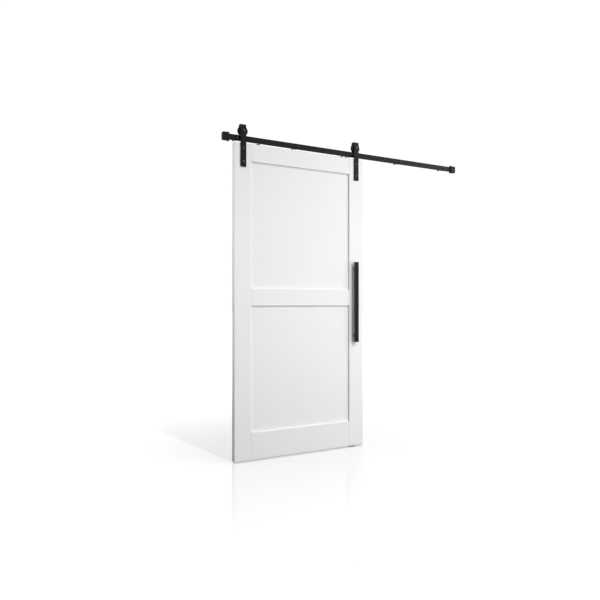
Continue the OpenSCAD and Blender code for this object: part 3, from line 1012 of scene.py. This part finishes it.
class BARNDOOR_OT_handle(bpy.types.Operator):
    """Finishes the flat bar handle, its posts and its screws"""

    bl_idname = "barn_door.handle"
    bl_label = "Handle"

    def execute(self, context):
        ease("handle_bar", coat_material(), context.scene.barn_door_steel.edge, 3)
        for end in ("top", "bottom"):
            ease(f"handle_post_{end}", coat_material(), 0.4 * MM)
        self.add_screws(context.scene.barn_door_fasteners)
        return {"FINISHED"}

    def add_screws(self, settings):
        """Truss-headed screws with hexagonal sockets, put in from the back of the door."""
        low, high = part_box("handle_screws")
        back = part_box("stile_right")[1].y
        head = (high.x - low.x) / 2
        shank = 3.0 * MM
        rows = socket_head_rows(head, 0.0, high.y - back, 2.0 * MM, 1.4 * MM)
        rows += [(shank, high.y - back), (shank, high.y - low.y - 0.8 * MM)]
        rows += [(shank - 0.6 * MM, high.y - low.y), (0, high.y - low.y)]
        flipped = [(radius, flip(y)) for radius, y in rows]
        places = [box_centre(f"handle_post_{end}") for end in ("top", "bottom")]
        for place in places:
            place.y = high.y
        add_piece(
            "handle_screws_finished", "handle_screws", Vector(), fastener_material(),
            [
                lambda bm, place=place: add_turned(bm, place, flipped, settings.columns)
                for place in places
            ],
        )


def flip(y):
    """The same height measured the other way, whether a number or a function."""
    return (lambda angle: -y(angle)) if callable(y) else -y


# ---- Studio ---------------------------------------------------------------------------------


class BARNDOOR_OT_studio(bpy.types.Operator):
    """Adds the floor, the lights, the room and the camera"""

    bl_idname = "barn_door.studio"
    bl_label = "Studio"

    def execute(self, context):
        settings = context.scene.barn_door_studio
        context.scene.view_settings.view_transform = "Standard"
        context.scene.view_settings.look = "None"
        add_camera(context, settings)
        add_floor(settings)
        add_room(context, settings)
        add_key(settings)
        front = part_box("stile_left")[0]
        handle = box_centre("handle_bar")
        edge = Vector((front.x, front.y, handle.z))
        middle = Vector((box_centre("middle_rail").x, front.y, handle.z))
        for name, place, target, size, spread, power in (
            ("front_right", (1.3, -2.4, -0.6), handle, 3.0, 180, settings.front_power),
            ("upper_left", (-1.6, -2.2, -0.4), middle, 1.0, 70, settings.upper_power),
            ("edge_front", (-2.6, -0.3, -0.5), edge, 1.2, 180, settings.edge_power),
            ("edge_back", (-2.2, 0.9, 0.7), edge, 1.0, 180, settings.back_power),
            ("behind", (-1.4, 3.6, -0.2), middle, 2.0, 50, settings.behind_power),
        ):
            add_softbox(name, Vector(place), target, size, math.radians(spread), power)
        return {"FINISHED"}


def add_camera(context, settings):
    """A level camera that looks along the floor, a little to the right."""
    data = bpy.data.cameras.new("camera")
    data.sensor_width = 36.0
    data.lens = settings.lens
    data.shift_x = settings.shift_x
    data.shift_y = settings.shift_y
    camera = bpy.data.objects.new("camera", data)
    camera.location = settings.camera_at
    camera.rotation_euler = Euler((math.radians(90), 0, -settings.heading))
    context.scene.collection.objects.link(camera)
    context.scene.camera = camera


def add_floor(settings):
    """A pale, slightly glossy floor that the door hangs just clear of."""
    bm = bmesh.new()
    bmesh.ops.create_grid(bm, x_segments=2, y_segments=2, size=settings.floor_size / 2)
    mesh = bpy.data.meshes.new("floor")
    bm.to_mesh(mesh)
    bm.free()
    floor = bpy.data.objects.new("floor", mesh)
    middle = box_centre("middle_rail")
    floor.location = (middle.x, middle.y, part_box("floor_guide")[0].z)
    bpy.context.scene.collection.objects.link(floor)
    mesh.materials.append(floor_material(settings))


def floor_material(settings):
    """A white floor for the eye, lit by a painted glow that is weak near the door and full far from it, and a
    greyer one for the light that it sends back.
    """
    material, tree, shader, film = new_surface(
        "pale_floor", "film_marks", {"Streaks": (3.0, 3.0, 3.0), "Peel": 60.0, "Cloud": 0.4}
    )
    shader.inputs["Base Color"].default_value = (*(settings.floor_tone,) * 3, 1.0)
    vary_roughness(tree, film.outputs["Tone"], 0.10, 0.14, shader)
    shader.inputs["IOR"].default_value = 2.0
    shader.inputs["Emission Strength"].default_value = 1.0
    place = tree.nodes.new("ShaderNodeTexCoord")
    away = tree.nodes.new("ShaderNodeVectorMath")
    away.operation = "LENGTH"
    tree.links.new(place.outputs["Object"], away.inputs[0])
    # Painted shade: the glow rises with distance from the door, so the floor is darker near the door and its
    # shadow fades out away from it.
    fade = ramp_between(tree, away.outputs["Value"], 0.3, settings.floor_reach)
    # Painted light: the strip of floor under the leaf glows more, to lighten the shade in the gap below the leaf.
    strip_depth = 24 * MM
    strip = painted_gap_light_mask(tree, place, box_centre("middle_rail"), strip_depth)
    painted_glow_amount = add_math(
        tree, "MAXIMUM", fade, add_math(tree, "MULTIPLY", strip, settings.floor_painted_gap_light)
    )
    glow = tree.nodes.new("ShaderNodeMix")
    glow.data_type = "RGBA"
    glow.inputs[6].default_value = (*(settings.floor_near,) * 3, 1.0)
    glow.inputs[7].default_value = (*(settings.floor_far,) * 3, 1.0)
    tree.links.new(painted_glow_amount, glow.inputs["Factor"])
    tree.links.new(glow.outputs[2], shader.inputs["Emission Color"])
    bounce = tree.nodes.new("ShaderNodeBsdfDiffuse")
    bounce.inputs["Color"].default_value = (*(settings.floor_bounce,) * 3, 1.0)
    chosen = choose_by_ray(tree, "Is Camera Ray", bounce, shader)
    output = next(node for node in tree.nodes if node.type == "OUTPUT_MATERIAL")
    tree.links.new(chosen.outputs[0], output.inputs["Surface"])
    return material


def painted_gap_light_mask(tree, place, origin, depth):
    """1 on the strip of floor just behind the leaf's front face, and 0 beyond it: the mask of the painted light
    that lightens the shade in the gap under the leaf.
    """
    left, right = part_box("stile_left")[0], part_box("stile_right")[1]
    parts = tree.nodes.new("ShaderNodeSeparateXYZ")
    tree.links.new(place.outputs["Object"], parts.inputs[0])
    reach = []
    for axis, low, high in (
        ("X", left.x - origin.x, right.x - origin.x),
        ("Y", left.y - origin.y, left.y - origin.y + depth),
    ):
        offset = add_math(tree, "SUBTRACT", parts.outputs[axis], (low + high) / 2)
        distance = add_math(tree, "ABSOLUTE", offset, 0.0)
        reach.append(add_math(tree, "DIVIDE", distance, (high - low) / 2))
    outside = ramp_between(tree, add_math(tree, "MAXIMUM", *reach), 0.95, 1.05)
    return add_math(tree, "SUBTRACT", 1.0, outside)


def ramp_between(tree, value, low, high):
    """0 below low, 1 above high, and a smooth step between them."""
    step = tree.nodes.new("ShaderNodeMapRange")
    step.interpolation_type = "SMOOTHSTEP"
    step.inputs["From Min"].default_value = low
    step.inputs["From Max"].default_value = high
    tree.links.new(value, step.inputs["Value"])
    return step.outputs["Result"]


def add_background(tree, strength):
    """A white background whose strength is a number or a socket."""
    background = tree.nodes.new("ShaderNodeBackground")
    background.inputs["Color"].default_value = (1.0, 1.0, 1.0, 1.0)
    if isinstance(strength, bpy.types.NodeSocket):
        tree.links.new(strength, background.inputs["Strength"])
    else:
        background.inputs["Strength"].default_value = strength
    return background


def choose_by_ray(tree, ray, otherwise, wanted):
    """One shader for a kind of ray, and another for every other ray."""
    rays = tree.nodes.new("ShaderNodeLightPath")
    choose = tree.nodes.new("ShaderNodeMixShader")
    tree.links.new(rays.outputs[ray], choose.inputs["Fac"])
    tree.links.new(otherwise.outputs[0], choose.inputs[1])
    tree.links.new(wanted.outputs[0], choose.inputs[2])
    return choose


def add_room(context, settings):
    """A white room whose light comes from the right. Polished things reflect a dark room in
    front of the door, with a bright wall far to the right, and a white one behind it."""
    world = bpy.data.worlds.new("room")
    context.scene.world = world
    world.use_nodes = True
    tree = world.node_tree
    tree.nodes.clear()
    output = tree.nodes.new("ShaderNodeOutputWorld")
    place = tree.nodes.new("ShaderNodeTexCoord")
    parts = tree.nodes.new("ShaderNodeSeparateXYZ")
    tree.links.new(place.outputs["Generated"], parts.inputs[0])
    rightward = add_math(tree, "MAXIMUM", parts.outputs["X"], 0.0)
    upward = add_math(tree, "MAXIMUM", parts.outputs["Z"], 0.0)
    lit = add_background(tree, add_math(
        tree, "ADD",
        add_math(tree, "MULTIPLY", rightward, settings.room),
        add_math(tree, "MULTIPLY", upward, settings.ceiling),
    ))
    ahead = ramp_between(tree, parts.outputs["X"], 0.48, 0.68)
    behind = ramp_between(tree, parts.outputs["Y"], -0.05, 0.05)
    blend = tree.nodes.new("ShaderNodeMix")
    tree.links.new(behind, blend.inputs["Factor"])
    tree.links.new(add_math(tree, "MULTIPLY", ahead, settings.sheen), blend.inputs["A"])
    blend.inputs["B"].default_value = 1.0
    mirrored = add_background(tree, blend.outputs["Result"])
    surface = choose_by_ray(tree, "Is Glossy Ray", lit, mirrored)
    surface = choose_by_ray(tree, "Is Camera Ray", surface, add_background(tree, 1.05))
    tree.links.new(surface.outputs[0], output.inputs["Surface"])


def add_key(settings):
    """The high front light that throws the door's shadow on the floor."""
    data = bpy.data.lights.new("key", "SUN")
    data.energy = settings.key_strength
    data.angle = settings.key_angle
    light = bpy.data.objects.new("key", data)
    level = math.cos(settings.key_height)
    towards = Vector((
        math.sin(settings.key_heading) * level,
        -math.cos(settings.key_heading) * level,
        math.sin(settings.key_height),
    ))
    light.rotation_euler = towards.to_track_quat("Z", "Y").to_euler()
    bpy.context.scene.collection.objects.link(light)


def add_softbox(name, place, target, size, spread, power):
    """A square light aimed at a point. Nothing reflects it, as if behind a scrim."""
    data = bpy.data.lights.new(name, "AREA")
    data.shape = "SQUARE"
    data.size = size
    data.spread = spread
    data.energy = power
    light = bpy.data.objects.new(name, data)
    light.location = place
    light.rotation_euler = (target - place).to_track_quat("-Z", "Y").to_euler()
    light.visible_camera = False
    light.visible_glossy = False
    bpy.context.scene.collection.objects.link(light)


# ---- Panel and registration -----------------------------------------------------------------


PIECE_OPERATORS = (
    BARNDOOR_OT_leaf,
    BARNDOOR_OT_dowels,
    BARNDOOR_OT_track,
    BARNDOOR_OT_lag_bolts,
    BARNDOOR_OT_stops,
    BARNDOOR_OT_straps,
    BARNDOOR_OT_wheels,
    BARNDOOR_OT_axles,
    BARNDOOR_OT_strap_bolts,
    BARNDOOR_OT_anti_jump,
    BARNDOOR_OT_handle,
)
SETTINGS = {
    "barn_door_leaf": LeafSettings,
    "barn_door_steel": SteelSettings,
    "barn_door_fasteners": FastenerSettings,
    "barn_door_studio": StudioSettings,
}


class BARNDOOR_PT_panel(bpy.types.Panel):
    """Lists the settings and the steps that build the door"""

    bl_idname = "BARNDOOR_PT_panel"
    bl_label = "Sliding Barn Door"
    bl_space_type = "VIEW_3D"
    bl_region_type = "UI"
    bl_category = "Barn Door"

    def draw(self, context):
        for operator in (BARNDOOR_OT_studio, *PIECE_OPERATORS):
            self.layout.operator(operator.bl_idname)
        for name in SETTINGS:
            group = getattr(context.scene, name)
            box = self.layout.box()
            for field in group.bl_rna.properties:
                if field.identifier not in ("rna_type", "name"):
                    box.prop(group, field.identifier)


CLASSES = (*SETTINGS.values(), BARNDOOR_OT_studio, *PIECE_OPERATORS, BARNDOOR_PT_panel)


def register():
    for cls in CLASSES:
        bpy.utils.register_class(cls)
    for name, group in SETTINGS.items():
        setattr(bpy.types.Scene, name, PointerProperty(type=group))


def unregister():
    for name in SETTINGS:
        delattr(bpy.types.Scene, name)
    for cls in reversed(CLASSES):
        bpy.utils.unregister_class(cls)


def main():
    """Builds everything."""
    register()
    bpy.ops.barn_door.studio()
    bpy.ops.barn_door.leaf()
    bpy.ops.barn_door.dowels()
    bpy.ops.barn_door.track()
    bpy.ops.barn_door.lag_bolts()
    bpy.ops.barn_door.stops()
    bpy.ops.barn_door.straps()
    bpy.ops.barn_door.wheels()
    bpy.ops.barn_door.axles()
    bpy.ops.barn_door.strap_bolts()
    bpy.ops.barn_door.anti_jump()
    bpy.ops.barn_door.handle()


if __name__ == "__main__":
    main()
